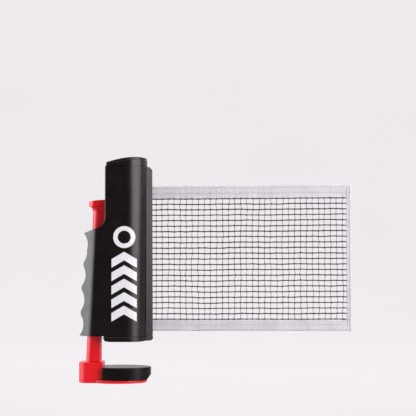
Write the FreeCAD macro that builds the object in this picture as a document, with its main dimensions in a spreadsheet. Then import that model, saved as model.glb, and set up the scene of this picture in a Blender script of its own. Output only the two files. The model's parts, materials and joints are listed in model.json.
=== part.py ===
import FreeCAD, Part
import math
import os
import Sketcher

# A table tennis net clamp: a housing that holds the rolled net, with a finger grip on its side, a
# spring-loaded clamp slide that is pushed down with the thumb, and the net drawn out of a slot.
# The frame: +Z up, +X the way the net is drawn, the front of the clamp faces -Y. The origin is on
# the net roller's axis, in the plane where the upper jaw pad rests on the table top.

doc = FreeCAD.newDocument("NetClamp")
sheet = doc.addObject("Spreadsheet::Sheet", "Sizes")

SIZES = {
    # housing
    "tube_radius": 19.0,
    "chamber_radius": 17.0,
    "wall": 2.0,
    "housing_left": -20.7,
    "shell_bottom": 5.5,
    "shell_top": 168.4,
    "web_bottom": 153.5,
    "web_top": 156.5,
    "edge_round": 1.0,
    # lip with the net slot
    "lip_half": 5.0,
    "lip_root": 18.2,
    "lip_tip_half": 2.6,
    "lip_reach_low": 24.5,
    "lip_reach_high": 23.7,
    "lip_slope": 2.7,
    "slot_half": 1.1,
    "slot_bottom": 8.5,
    "slot_top": 151.5,
    # finger grip
    "grip_left": -48.5,
    "grip_foot_left": -45.5,
    "grip_tip_top": 101.9,
    "grip_saddle_radius": 11.0,
    "grip_saddle_top": 119.2,
    "grip_bevel_low": -34.7,
    "grip_bevel_lean": 0.0426,
    "grip_bevel_round": 9.0,
    "ridge_round": 5.5,
    # channel and recess for the slide
    "channel_half": 8.1,
    "channel_left_low": -40.4,
    "channel_left_high": -36.1,
    "recess_floor": 102.0,
    # caps and pad
    "cap_left": -19.9,
    "cap_radius": 18.9,
    "cap_dome_radius": 95.0,
    "cap_dome_x": 12.0,
    "cap_crown": 177.25,
    "cap_bevel": 0.6,
    "seam_bevel": 0.4,
    "cap_rim": 1.5,
    "cap_rim_inset": 0.3,
    "seam_depth": 0.8,
    "seam_width": 0.65,
    "base_cap_left": -21.9,
    "base_cap_radius": 19.15,
    "base_cap_bottom": 0.6,
    "base_cap_reach": 24.7,
    "plug_radius": 16.8,
    "pad_thickness": 2.0,
    "pad_radius": 16.5,
    "pad_left": -17.5,
    # clamp slide
    "column_half": 7.7,
    "column_right_low": -25.2,
    "column_right_high": -21.0,
    "column_left_low": -39.7,
    "column_left_high": -33.3,
    "column_round": 6.3,
    "thumb_left": -37.1,
    "thumb_half": 10.3,
    "thumb_bottom": 130.2,
    "thumb_top_left": 134.6,
    "thumb_top_right": 136.3,
    "cove_round": 2.4,
    "spring_room_half": 5.6,
    "spring_room_left": -30.6,
    "spring_room_bottom": 8.5,
    "spring_room_top": 128.0,
    # foot and lower jaw
    "jaw_gap": 24.4,
    "foot_left": -46.2,
    "foot_right": -22.8,
    "foot_half": 12.5,
    "foot_round": 9.5,
    "foot_top": -19.8,
    "foot_bottom": -39.5,
    "plate_thickness": 2.9,
    "plate_middle": -8.0,
    "plate_long": 27.1,
    "plate_wide": 19.8,
    "jaw_middle": -6.0,
    "jaw_long": 29.0,
    "jaw_wide": 20.2,
    # spring, seat and guide rod
    "seat_bottom": 34.0,
    "seat_top": 40.0,
    "spring_x": -25.9,
    "spring_radius": 3.8,
    "spring_wire": 1.1,
    "spring_turns": 14,
    "rod_radius": 2.5,
    "rod_top": 96.0,
    # roller
    "axle_radius": 2.45,
    "axle_bottom": 2.4,
    "axle_top": 160.0,
    "roller_radius": 7.5,
    "roller_bore": 6.3,
    "roller_bottom": 9.0,
    "roller_top": 151.0,
    "roll_radius": 15.6,
    "rewind_radius": 4.3,
    "rewind_wire": 0.8,
    "rewind_bottom": 44.0,
    "rewind_length": 66.0,
    # net
    "net_bottom": 10.0,
    "net_top": 150.0,
    "band_height": 12.0,
    "net_half": 0.35,
    "net_start": 16.75,
    "net_end": 214.6,
    "lead_radius": 16.1,
    "hem_radius": 1.3,
    "end_rod_radius": 0.85,
    # screws
    "screw_radius": 1.1,
    "screw_head": 2.0,
    "screw_head_height": 1.5,
    "shell_screw_seat": 4.5,
    "shell_screw_length": 10.5,
    "cap_screw_length": 9.5,
    "foot_screw_radius": 1.5,
    "foot_screw_head": 2.9,
    "foot_screw_length": 10.5,
    "hole_play": 0.05,
}

for row, (alias, value) in enumerate(SIZES.items(), start=1):
    sheet.set(f"A{row}", alias.replace("_", " "))
    sheet.set(f"B{row}", str(value))
    sheet.setAlias(f"B{row}", alias)
doc.recompute()

NODES = []


def size(alias):
    return float(sheet.get(alias))


def rule(text):
    """A formula over the sheet's cells, from a formula over their bare aliases."""
    words = str(text).replace("(", " ( ").replace(")", " ) ").split()
    return " ".join("Sizes." + word if word in SIZES else word for word in words)


def bind(thing, property_name, text):
    thing.setExpression(property_name, rule(text))


def place(thing, x=0, y=0, z=0):
    for axis, text in (("x", x), ("y", y), ("z", z)):
        bind(thing, "Placement.Base." + axis, text)


# ---------------------------------------------------------------- shapes to build with

TURN = {
    "Y": FreeCAD.Rotation(FreeCAD.Vector(1, 0, 0), -90),
    "Z": FreeCAD.Rotation(),
}


def box(name, low, high):
    part = doc.addObject("Part::Box", name)
    for side, start, end in zip(("Length", "Width", "Height"), low, high):
        bind(part, side, f"( {end} ) - ( {start} )")
    place(part, *low)
    return part


def rod(name, radius, start, length, axis="Z"):
    part = doc.addObject("Part::Cylinder", name)
    part.Placement = FreeCAD.Placement(FreeCAD.Vector(), TURN[axis])
    bind(part, "Radius", radius)
    bind(part, "Height", length)
    place(part, *start)
    return part


def fuse(name, *parts):
    part = doc.addObject("Part::MultiFuse", name)
    part.Shapes = list(parts)
    part.Refine = True
    return part


def cut(name, base, *tools):
    part = doc.addObject("Part::Cut", name)
    part.Base = base
    part.Tool = tools[0] if len(tools) == 1 else fuse(name + "_tools", *tools)
    part.Refine = True
    return part


def common(name, *parts):
    part = doc.addObject("Part::MultiCommon", name)
    part.Shapes = list(parts)
    part.Refine = True
    return part


def mirrored(name, source):
    """The source on the other side of the plane Y = 0."""
    part = doc.addObject("Part::Mirroring", name)
    part.Source = source
    part.Normal = FreeCAD.Vector(0, 1, 0)
    return part


def group(name, *parts):
    """Several separate solids in one node."""
    part = doc.addObject("Part::Compound", name)
    part.Links = list(parts)
    return part


def plane_of(body, role):
    return [part for part in body.Origin.OriginFeatures if part.Role == role][0]


def outline(body, role, corners):
    """A closed polygon sketch. Each corner is a pair of formulas."""
    sketch = body.newObject("Sketcher::SketchObject", body.Name + "_outline")
    sketch.AttachmentSupport = [(plane_of(body, role), "")]
    sketch.MapMode = "FlatFace"
    count = len(corners)
    start = [
        FreeCAD.Vector(50 * math.cos(2 * math.pi * i / count), 50 * math.sin(2 * math.pi * i / count), 0)
        for i in range(count)
    ]
    for i in range(count):
        sketch.addGeometry(Part.LineSegment(start[i], start[(i + 1) % count]), False)
    for i in range(count):
        sketch.addConstraint(Sketcher.Constraint("Coincident", i, 2, (i + 1) % count, 1))
    for i, (across, up) in enumerate(corners):
        x_number = sketch.addConstraint(Sketcher.Constraint("DistanceX", -1, 1, i, 1, start[i].x))
        y_number = sketch.addConstraint(Sketcher.Constraint("DistanceY", -1, 1, i, 1, start[i].y))
        bind(sketch, f"Constraints[{x_number}]", across)
        bind(sketch, f"Constraints[{y_number}]", up)
    return sketch


def slab(name, corners, thickness):
    """A polygon in the XZ plane, padded the same way to the front and the rear."""
    body = doc.addObject("PartDesign::Body", name)
    pad = body.newObject("PartDesign::Pad", name + "_pad")
    pad.Profile = outline(body, "XZ_Plane", corners)
    bind(pad, "Length", thickness)
    pad.Midplane = True
    return body


def plate(name, corners, bottom, top):
    """A polygon in plan, padded from one height to another."""
    body = doc.addObject("PartDesign::Body", name)
    pad = body.newObject("PartDesign::Pad", name + "_pad")
    pad.Profile = outline(body, "XY_Plane", corners)
    bind(pad, "Length", f"( {top} ) - ( {bottom} )")
    place(body, z=bottom)
    return body


def turned(name, corners):
    """A polygon of (radius, height) corners, revolved about Z."""
    body = doc.addObject("PartDesign::Body", name)
    sketch = outline(body, "XZ_Plane", corners)
    turn = body.newObject("PartDesign::Revolution", name + "_turn")
    turn.Profile = sketch
    turn.ReferenceAxis = (sketch, ["V_Axis"])
    turn.Angle = 360
    return body


def oval(name, middle, long_radius, wide_radius, bottom, top):
    """An elliptic plate, its long axis along X."""
    ellipse = doc.addObject("Part::Ellipse", name + "_ellipse")
    bind(ellipse, "MajorRadius", long_radius)
    bind(ellipse, "MinorRadius", wide_radius)
    place(ellipse, middle, 0, bottom)
    part = doc.addObject("Part::Extrusion", name)
    part.Base = ellipse
    part.DirMode = "Custom"
    part.Dir = FreeCAD.Vector(0, 0, 1)
    bind(part, "LengthFwd", f"( {top} ) - ( {bottom} )")
    part.Solid = True
    return part


def edges_at(shape, points, reach=0.02):
    """The numbers of the edges that pass through the points."""
    found = []
    for number, edge in enumerate(shape.Edges, start=1):
        if any(edge.distToShape(Part.Vertex(FreeCAD.Vector(*p)))[0] < reach for p in points):
            found.append(number)
    return found


def softened(kind, name, base, radius, points):
    """Part::Fillet or Part::Chamfer of one size on the edges that pass through the points."""
    doc.recompute()
    part = doc.addObject(kind, name)
    part.Base = base
    part.Edges = [(number, radius, radius) for number in edges_at(base.Shape, points)]
    doc.recompute()
    return part


def coil(name, radius, wire, pitch, length, start):
    """An open coil: a round wire swept along a helix."""
    helix = doc.addObject("Part::Helix", name + "_helix")
    bind(helix, "Radius", radius)
    bind(helix, "Pitch", pitch)
    bind(helix, "Height", length)
    place(helix, *start)
    section = doc.addObject("Part::Circle", name + "_section")
    section.Placement = FreeCAD.Placement(FreeCAD.Vector(), TURN["Y"])
    bind(section, "Radius", f"{wire} / 2")
    place(section, f"{start[0]} + {radius}", start[1], start[2])
    part = doc.addObject("Part::Sweep", name)
    part.Sections = [section]
    part.Spine = (helix, [])
    part.Solid = True
    part.Frenet = True
    return part


def keep(part, label):
    """The part is a node, and its file is named by the label."""
    part.Label = label
    NODES.append(part)


# ---------------------------------------------------------------- housing: outer form

tube = rod("tube", "tube_radius", (0, 0, "shell_bottom"), "shell_top - shell_bottom")
flat_side = box(
    "flat_side",
    ("housing_left", "- tube_radius", "shell_bottom"),
    (0, "tube_radius", "shell_top"),
)
lip = slab(
    "lip",
    [
        (0, "shell_bottom"),
        ("lip_reach_low", "shell_bottom"),
        ("lip_reach_high", "shell_top - lip_slope"),
        ("lip_reach_high - lip_slope", "shell_top"),
        (0, "shell_top"),
    ],
    "2 * lip_half",
)



def lip_wedges(name, gap, bottom, top):
    """What the lip's front and rear faces lose, so that it narrows towards its tip."""
    front = plate(
        name + "_front",
        [
            ("lip_root", f"- lip_half - {gap}"),
            ("lip_reach_low + 1", f"- lip_tip_half - {gap}"),
            ("lip_reach_low + 1", "- lip_half - 2"),
            ("lip_root", "- lip_half - 2"),
        ],
        bottom,
        top,
    )
    return front, mirrored(name + "_rear", front)


lip_narrowed = cut("lip_narrowed", lip, *lip_wedges("lip_wedge", 0, 0, 200))

# The finger grip is a slab with four finger hollows in its left side, one of them long, and a bevel
# on the front and on the rear that leans with the slab.
grip_slab = slab(
    "grip_slab",
    [
        ("grip_foot_left", "shell_bottom"),
        (-10, "shell_bottom"),
        (-10, "grip_saddle_top"),
        ("housing_left", "grip_saddle_top"),
        ("housing_left - 7.4", "grip_saddle_top - 10.4"),
        ("grip_left", "grip_tip_top"),
        ("grip_left", 20),
        ("grip_foot_left", 11),
    ],
    "2 * tube_radius",
)
saddle = rod(
    "saddle",
    "grip_saddle_radius",
    ("housing_left - grip_saddle_radius", -30, "grip_saddle_top"),
    60,
    "Y",
)
FINGER_HOLLOWS = [
    ("upper", -37.6, 93.0, 16.0),
    ("upper_low", -38.3, 86.3, 16.0),
    ("second", -39.7, 64.0, 15.5),
    ("third", -40.8, 40.0, 15.5),
    ("lowest", -41.6, 16.5, 15.5),
]
hollows = [
    rod("hollow_" + name, radius, (f"{deepest} - {radius}", -30, height), 60, "Y")
    for name, deepest, height, radius in FINGER_HOLLOWS
]
grip_waves = cut("grip_waves", grip_slab, saddle, *hollows)


def crest(first, second):
    """Where two neighbouring finger hollows cross, on the housing's side of the crossing."""
    x_a, z_a, r_a = first[1] - first[3], first[2], first[3]
    x_b, z_b, r_b = second[1] - second[3], second[2], second[3]
    gap = math.hypot(x_b - x_a, z_b - z_a)
    along = (gap**2 + r_a**2 - r_b**2) / (2 * gap)
    aside = math.sqrt(r_a**2 - along**2)
    step_x, step_z = (x_b - x_a) / gap, (z_b - z_a) / gap
    return x_a + along * step_x - aside * step_z, z_a + along * step_z + aside * step_x


CRESTS = [crest(a, b) for a, b in zip(FINGER_HOLLOWS[1:], FINGER_HOLLOWS[2:])]
grip_rounded = softened(
    "Part::Fillet",
    "grip_rounded",
    grip_waves,
    size("ridge_round"),
    [(x, 0, z) for x, z in CRESTS],
)

# A prism that takes off the front left corner. Its slanted side goes 12 mm back for each 10 mm left,
# and leans to the right as it rises.
bevel_front = doc.addObject("PartDesign::Body", "bevel_front")
bevel_pad = bevel_front.newObject("PartDesign::Pad", "bevel_front_pad")
bevel_pad.Profile = outline(
    bevel_front,
    "XY_Plane",
    [
        ("grip_bevel_low + 2.5", "- tube_radius - 3"),
        ("grip_bevel_low - 20", "- tube_radius + 24"),
        ("grip_bevel_low - 20", "- tube_radius - 3"),
    ],
)
bevel_pad.UseCustomVector = True
bevel_pad.Direction = FreeCAD.Vector(size("grip_bevel_lean"), 0, 1)
bevel_pad.Length = 130
bevel_rear = mirrored("bevel_rear", bevel_front)
grip_cornered = cut("grip_cornered", grip_rounded, bevel_front, bevel_rear)
grip = softened(
    "Part::Fillet",
    "grip",
    grip_cornered,
    size("grip_bevel_round"),
    [
        (size("grip_bevel_low") + size("grip_bevel_lean") * 60, side * size("tube_radius"), 60)
        for side in (-1, 1)
    ],
)

outer_form = fuse("outer_form", tube, flat_side, lip_narrowed, grip)

EDGE_X, EDGE_Y = size("housing_left"), size("tube_radius")
SADDLE_X, SADDLE_Z = EDGE_X - size("grip_saddle_radius"), size("grip_saddle_top")
outer_rounded = softened(
    "Part::Fillet",
    "outer_rounded",
    outer_form,
    size("edge_round"),
    [
        (x, side * EDGE_Y, z)
        for side in (-1, 1)
        for x, z in (
            (EDGE_X, 140),
            (
                SADDLE_X + size("grip_saddle_radius") * math.cos(math.radians(-45)),
                SADDLE_Z + size("grip_saddle_radius") * math.sin(math.radians(-45)),
            ),
        )
    ],
)

# ---------------------------------------------------------------- housing: inside

chamber = rod("chamber", "chamber_radius", (0, 0, "shell_bottom - 1"), "web_bottom - shell_bottom + 1")
upper_room = rod("upper_room", "chamber_radius", (0, 0, "web_top"), "shell_top - web_top + 1")
corner_room_front = box(
    "corner_room_front",
    ("housing_left + wall", "wall - tube_radius", 20),
    (-8, -9, 148),
)
corner_room_rear = mirrored("corner_room_rear", corner_room_front)
net_slot = box("net_slot", (14, "- slot_half", "slot_bottom"), (30, "slot_half", "slot_top"))
channel = slab(
    "channel",
    [
        ("channel_left_low", "shell_bottom - 1"),
        ("housing_left", "shell_bottom - 1"),
        ("housing_left", "grip_saddle_top + 5"),
        ("channel_left_high", "grip_saddle_top + 5"),
        ("channel_left_high", "recess_floor"),
    ],
    "2 * channel_half",
)
recess = plate(
    "recess",
    [
        ("thumb_left - 0.8", "- thumb_half + 3.9"),
        ("thumb_left + 4.1 - 0.8", "- thumb_half - 0.8"),
        ("housing_left", "- thumb_half - 0.8"),
        ("housing_left", "thumb_half + 0.8"),
        ("thumb_left + 4.1 - 0.8", "thumb_half + 0.8"),
        ("thumb_left - 0.8", "thumb_half - 3.9"),
    ],
    "recess_floor",
    "grip_saddle_top + 5",
)
seat_neck_room = box(
    "seat_neck_room",
    ("housing_left - 1", -4.1, "seat_bottom - 1"),
    ("housing_left + 1.1", 4.1, "seat_top + 1"),
)
seat_wing_room = box(
    "seat_wing_room",
    ("housing_left + 1", -6.6, "seat_bottom - 1"),
    ("housing_left + 2.5", 6.6, "seat_top + 1"),
)
axle_hole = rod("axle_hole", "axle_radius + 0.1", (0, 0, "web_bottom - 1"), "web_top - web_bottom + 2")
hollow_form = cut(
    "hollow_form",
    outer_rounded,
    chamber,
    upper_room,
    corner_room_front,
    corner_room_rear,
    net_slot,
    channel,
    recess,
    seat_neck_room,
    seat_wing_room,
    axle_hole,
)

# Four screws join the halves: two above the roll chamber, two through the ridges of the grip.
BOSS_Z = 162.5
BOSSES = [(-10, BOSS_Z), (10, BOSS_Z)]
SHELL_SCREWS = BOSSES + [(-39.7, 73.6), (-41.9, 28.4)]
bosses = [
    rod(f"boss_{i}", 3.5, (x, "- chamber_radius + 1", z), "2 * chamber_radius - 2", "Y")
    for i, (x, z) in enumerate(BOSSES)
]
boss_reach = rod("boss_reach", "tube_radius - 0.5", (0, 0, "web_top"), "shell_top - web_top")
held_bosses = common("held_bosses", fuse("boss_pair", *bosses), boss_reach)
full_form = fuse("full_form", hollow_form, held_bosses)

shell_screw_holes = [
    rod(
        f"shell_screw_hole_{i}",
        "screw_radius + hole_play",
        (x, "shell_screw_seat - shell_screw_length - 0.3", z),
        "shell_screw_length + 1",
        "Y",
    )
    for i, (x, z) in enumerate(SHELL_SCREWS)
]
shell_screw_wells = [
    rod(f"shell_screw_well_{i}", "screw_head + 0.1", (x, "shell_screw_seat", z), 20, "Y")
    for i, (x, z) in enumerate(SHELL_SCREWS)
]
CAP_SCREWS = [(-15.2, -13.8), (-15.2, 13.8)]
cap_screw_holes = [
    rod(
        f"cap_screw_hole_{end}_{i}",
        "screw_radius + hole_play",
        (x, y, z),
        "cap_screw_length",
    )
    for end, z in (("low", "shell_bottom - 1"), ("high", "shell_top - cap_screw_length + 1"))
    for i, (x, y) in enumerate(CAP_SCREWS)
]
drilled_form = cut("drilled_form", full_form, *shell_screw_holes, *shell_screw_wells, *cap_screw_holes)
front_half = box("front_half", (-60, -40, 0), (60, 0, 200))
rear_half = box("rear_half", (-60, 0, 0), (60, 40, 200))
keep(common("front_shell", drilled_form, front_half), "front_shell")
keep(common("rear_shell", drilled_form, rear_half), "rear_shell")

# ---------------------------------------------------------------- caps and upper jaw pad


def cap_prism(name, inset, bottom):
    """The outline of the top cap, drawn in by inset, from bottom up."""
    return fuse(
        name,
        box(
            name + "_flat",
            (f"cap_left + {inset}", f"{inset} - cap_radius", bottom),
            (0, f"cap_radius - {inset}", 185),
        ),
        rod(name + "_round", f"cap_radius - {inset}", (0, 0, bottom), f"185 - ( {bottom} )"),
    )


def dome(name, drop):
    """All that lies under the top cap's crown, lowered by drop."""
    return rod(name, "cap_dome_radius", ("cap_dome_x", -30, f"cap_crown - cap_dome_radius - ( {drop} )"), 60, "Y")


cap_core = common("cap_core", cap_prism("cap_core_prism", "seam_depth", "shell_top"), dome("dome_core", 0.9))
cap_domed = common("cap_domed", cap_prism("cap_rim_prism", "cap_rim_inset", "shell_top"), dome("dome_top", 0))
doc.recompute()


def dome_height(x):
    return (
        size("cap_crown")
        - size("cap_dome_radius")
        + math.sqrt(size("cap_dome_radius") ** 2 - (x - size("cap_dome_x")) ** 2)
    )


def rim_points(inset, drop):
    """A point on each upper edge of the top cap's outline, drawn in by inset, under the dome lowered by drop."""
    radius, left = size("cap_radius") - inset, size("cap_left") + inset
    points = [(left, 0, dome_height(left) - drop)]
    for side in (-1, 1):
        points.append((left / 2, side * radius, dome_height(left / 2) - drop))
        slant = radius * math.sqrt(0.5)
        points.append((slant, side * slant, dome_height(slant) - drop))
    return points


cap_wall = common(
    "cap_wall",
    cap_prism("cap_wall_prism", 0, "shell_top + seam_width"),
    dome("dome_wall", "cap_rim + seam_width"),
)
cap_wall_bevelled = softened(
    "Part::Chamfer",
    "cap_wall_bevelled",
    cap_wall,
    size("seam_bevel"),
    rim_points(0, size("cap_rim") + size("seam_width")),
)
cap_bevelled = softened("Part::Chamfer", "cap_bevelled", cap_domed, size("cap_bevel"), rim_points(size("cap_rim_inset"), 0))
cap_rim = cut("cap_rim_band", cap_bevelled, dome("dome_rim", "cap_rim"))
cap_plug = rod("cap_plug", "plug_radius", (0, 0, "shell_top - 1.8"), 2.8)
CAP_SEAT_Z = "shell_top + 1.6"
cap_top_holes = [
    rod(f"cap_top_hole_{i}", "screw_radius + hole_play", (x, y, "shell_top - 3"), 10)
    for i, (x, y) in enumerate(CAP_SCREWS)
]
cap_top_wells = [
    rod(f"cap_top_well_{i}", "screw_head + 0.1", (x, y, CAP_SEAT_Z), 12)
    for i, (x, y) in enumerate(CAP_SCREWS)
]
top_cap = cut("top_cap", fuse("cap_whole", cap_rim, cap_core, cap_wall_bevelled, cap_plug), *cap_top_holes, *cap_top_wells)
keep(top_cap, "top_cap")


def base_prism(name, inset, bottom, top):
    """The outline of the bottom cap with its lip, drawn in by inset."""
    return fuse(
        name,
        box(
            name + "_flat",
            (f"base_cap_left + {inset}", f"{inset} - base_cap_radius", bottom),
            (0, f"base_cap_radius - {inset}", top),
        ),
        rod(name + "_round", f"base_cap_radius - {inset}", (0, 0, bottom), f"( {top} ) - ( {bottom} )"),
        box(
            name + "_lip",
            (0, f"{inset} - lip_half - 0.2", bottom),
            (f"base_cap_reach - {inset}", f"lip_half + 0.2 - {inset}", top),
        ),
    )


base_wall = base_prism("base_wall", 0, "base_cap_bottom", "shell_bottom - seam_width")
doc.recompute()
BASE_RADIUS, BASE_TOP = size("base_cap_radius"), size("shell_bottom") - size("seam_width")
base_wall_bevelled = softened(
    "Part::Chamfer",
    "base_wall_bevelled",
    base_wall,
    size("seam_bevel"),
    [(size("base_cap_left"), 0, BASE_TOP)]
    + [(-9, side * BASE_RADIUS, BASE_TOP) for side in (-1, 1)]
    + [(BASE_RADIUS * math.sqrt(0.5), side * BASE_RADIUS * math.sqrt(0.5), BASE_TOP) for side in (-1, 1)],
)
base_neck = base_prism("base_neck", "seam_depth", "shell_bottom - seam_width", "shell_bottom")
base_slope = slab(
    "base_slope",
    [
        ("base_cap_left - 1", "shell_bottom - 1.6"),
        ("base_cap_left", "shell_bottom - 1.6"),
        ("base_cap_left + 1.9", "base_cap_bottom"),
        ("base_cap_left + 1.9", "base_cap_bottom - 1"),
        ("base_cap_left - 1", "base_cap_bottom - 1"),
    ],
    60,
)
base_nose = slab(
    "base_nose",
    [
        ("base_cap_reach + 1", "base_cap_bottom + 1.6"),
        ("base_cap_reach", "base_cap_bottom + 1.6"),
        ("base_cap_reach - 1.6", "base_cap_bottom"),
        ("base_cap_reach - 1.6", "base_cap_bottom - 1"),
        ("base_cap_reach + 1", "base_cap_bottom - 1"),
    ],
    60,
)
base_blank = fuse("base_blank", base_wall_bevelled, base_neck)
base_trimmed = cut(
    "base_trimmed", base_blank, base_slope, base_nose, *lip_wedges("base_wedge", 0.2, 0, 20)
)
base_plug = rod("base_plug", "plug_radius", (0, 0, "shell_bottom - 1"), 2.5)
pad_room = fuse(
    "pad_room",
    box("pad_room_flat", ("pad_left - 0.05", "- pad_radius - 0.05", 0), (0, "pad_radius + 0.05", "pad_thickness")),
    rod("pad_room_round", "pad_radius + 0.05", (0, 0, 0), "pad_thickness"),
)
axle_socket = rod("axle_socket", "axle_radius + 0.02", (0, 0, "axle_bottom - 0.1"), 10)
base_holes = [
    rod(f"base_hole_{i}", "screw_radius + hole_play", (x, y, 0), 10)
    for i, (x, y) in enumerate(CAP_SCREWS)
]
base_wells = [
    rod(f"base_well_{i}", "screw_head + 0.1", (x, y, 0), "pad_thickness + screw_head_height + 0.1")
    for i, (x, y) in enumerate(CAP_SCREWS)
]
bottom_cap = cut(
    "bottom_cap",
    fuse("base_whole", base_trimmed, base_plug),
    pad_room,
    axle_socket,
    *base_holes,
    *base_wells,
)
keep(bottom_cap, "bottom_cap")

jaw_pad = fuse(
    "jaw_pad",
    box("jaw_pad_flat", ("pad_left", "- pad_radius", 0), (0, "pad_radius", "pad_thickness")),
    rod("jaw_pad_round", "pad_radius", (0, 0, 0), "pad_thickness"),
)
keep(jaw_pad, "upper_jaw_pad")

# ---------------------------------------------------------------- screws of the housing


def screw(name, radius, head, head_height, length):
    """A pan-head screw with its seat at height 0 and its shank going down, a cross recess in its head."""
    blank = turned(
        name + "_blank",
        [
            (0, f"- {length}"),
            (f"{radius} * 0.5", f"- {length}"),
            (radius, f"- {length} + 1"),
            (radius, 0),
            (head, 0),
            (head, f"{head_height} * 0.55"),
            (f"{head} * 0.6", head_height),
            (0, head_height),
        ],
    )
    arms = [
        box(
            f"{name}_arm_{i}",
            (f"- {head} * {x}", f"- {head} * {y}", f"{head_height} * 0.45"),
            (f"{head} * {x}", f"{head} * {y}", f"{head_height} + 1"),
        )
        for i, (x, y) in enumerate(((0.5, 0.12), (0.12, 0.5)))
    ]
    return cut(name, blank, *arms)


def placed_copies(name, source, places, rotation):
    """Links to one screw, each with a place of its own."""
    copies = []
    for i, (x, y, z) in enumerate(places):
        copy = doc.addObject("Part::Compound", f"{name}_{i}")
        copy.Links = [source]
        copy.Placement = FreeCAD.Placement(FreeCAD.Vector(), rotation)
        place(copy, x, y, z)
        copies.append(copy)
    return group(name, *copies)


shell_screw = screw("shell_screw", "screw_radius", "screw_head", "screw_head_height", "shell_screw_length")
keep(
    placed_copies(
        "shell_screws",
        shell_screw,
        [(x, "shell_screw_seat", z) for x, z in SHELL_SCREWS],
        TURN["Y"],
    ),
    "shell_screws",
)
cap_screw = screw("cap_screw", "screw_radius", "screw_head", "screw_head_height", "cap_screw_length")
high_cap_screws = placed_copies(
    "high_cap_screws", cap_screw, [(x, y, CAP_SEAT_Z) for x, y in CAP_SCREWS], TURN["Z"]
)
low_cap_screws = placed_copies(
    "low_cap_screws",
    cap_screw,
    [(x, y, "pad_thickness + screw_head_height + 0.1") for x, y in CAP_SCREWS],
    FreeCAD.Rotation(FreeCAD.Vector(1, 0, 0), 180),
)
keep(group("cap_screws", high_cap_screws, low_cap_screws), "cap_screws")

# ---------------------------------------------------------------- spring seat, guide rod, spring

seat_neck = box(
    "seat_neck",
    ("housing_left - 0.3", -4.0, "seat_bottom"),
    ("housing_left + 1.05", 4.0, "seat_top"),
)
seat_wing = box(
    "seat_wing",
    ("housing_left + 1.05", -6.5, "seat_bottom"),
    ("housing_left + 2.4", 6.5, "seat_top"),
)
seat_arm = box("seat_arm", (-30.0, -4.9, "seat_bottom"), ("housing_left - 0.3", 4.9, "seat_top"))
rod_socket = rod(
    "rod_socket",
    "rod_radius + 0.02",
    ("spring_x", 0, "seat_bottom + 1"),
    "seat_top - seat_bottom",
)
keep(cut("spring_seat", fuse("seat_whole", seat_neck, seat_wing, seat_arm), rod_socket), "spring_seat")
guide_rod = turned(
    "guide_rod",
    [
        (0, "seat_bottom + 1"),
        ("rod_radius", "seat_bottom + 1"),
        ("rod_radius", "rod_top - 1.2"),
        ("rod_radius - 1.2", "rod_top"),
        (0, "rod_top"),
    ],
)
place(guide_rod, "spring_x")
keep(guide_rod, "spring_guide_rod")

spring_length = "spring_room_top - seat_top - spring_wire - 0.1"
clamp_spring = coil(
    "clamp_coil",
    "spring_radius",
    "spring_wire",
    f"( {spring_length} ) / spring_turns",
    spring_length,
    ("spring_x", 0, "seat_top + spring_wire / 2 + 0.05"),
)
keep(clamp_spring, "clamp_spring")

# ---------------------------------------------------------------- clamp slide

column_blank = slab(
    "column_blank",
    [
        ("column_left_low", "foot_top"),
        ("column_right_low", "foot_top"),
        ("column_right_low", 31.5),
        ("column_right_high", 34.5),
        ("column_right_high", "thumb_bottom"),
        ("column_left_high", "thumb_bottom"),
    ],
    "2 * column_half",
)
HALF = size("column_half")
MIDDLE_LEFT = (size("column_left_low") + size("column_left_high")) / 2
MIDDLE_Z = (size("foot_top") + size("thumb_bottom")) / 2
column_rounded = softened(
    "Part::Fillet",
    "column_rounded",
    column_blank,
    size("column_round"),
    [(MIDDLE_LEFT, -HALF, MIDDLE_Z), (MIDDLE_LEFT, HALF, MIDDLE_Z)],
)
column_eased = softened(
    "Part::Fillet",
    "column_eased",
    column_rounded,
    1.2,
    [(size("column_right_low"), side * HALF, 10) for side in (-1, 1)],
)
thumb_blank = plate(
    "thumb_blank",
    [
        ("thumb_left", "- thumb_half + 4.5"),
        ("thumb_left + 4.1", "- thumb_half"),
        ("column_right_high", "- thumb_half"),
        ("column_right_high", "thumb_half"),
        ("thumb_left + 4.1", "thumb_half"),
        ("thumb_left", "thumb_half - 4.5"),
    ],
    "thumb_bottom",
    "thumb_top_right + 2",
)
THUMB_LEFT, THUMB_HALF = size("thumb_left"), size("thumb_half")
thumb_rounded = softened(
    "Part::Fillet",
    "thumb_rounded",
    thumb_blank,
    3.2,
    [
        (x, side * y, size("thumb_bottom") + 1)
        for side in (-1, 1)
        for x, y in ((THUMB_LEFT, THUMB_HALF - 4.5), (THUMB_LEFT + 4.1, THUMB_HALF))
    ],
)
thumb_slope = slab(
    "thumb_slope",
    [
        ("thumb_left - 1", "thumb_top_left"),
        ("thumb_left + 9", "thumb_top_left + 1.3"),
        ("column_right_high + 1", "thumb_top_right"),
        ("column_right_high + 1", "thumb_top_right + 10"),
        ("thumb_left - 1", "thumb_top_right + 10"),
    ],
    40,
)
thumb_shaped = cut("thumb_shaped", thumb_rounded, thumb_slope)
column_with_thumb = fuse("column_with_thumb", column_eased, thumb_shaped)
column_coved = softened(
    "Part::Fillet",
    "column_coved",
    column_with_thumb,
    size("cove_round"),
    [
        (size("column_left_high"), 0, size("thumb_bottom")),
        (size("column_right_high") - 5, -HALF, size("thumb_bottom")),
        (size("column_right_high") - 5, HALF, size("thumb_bottom")),
    ],
)
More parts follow.
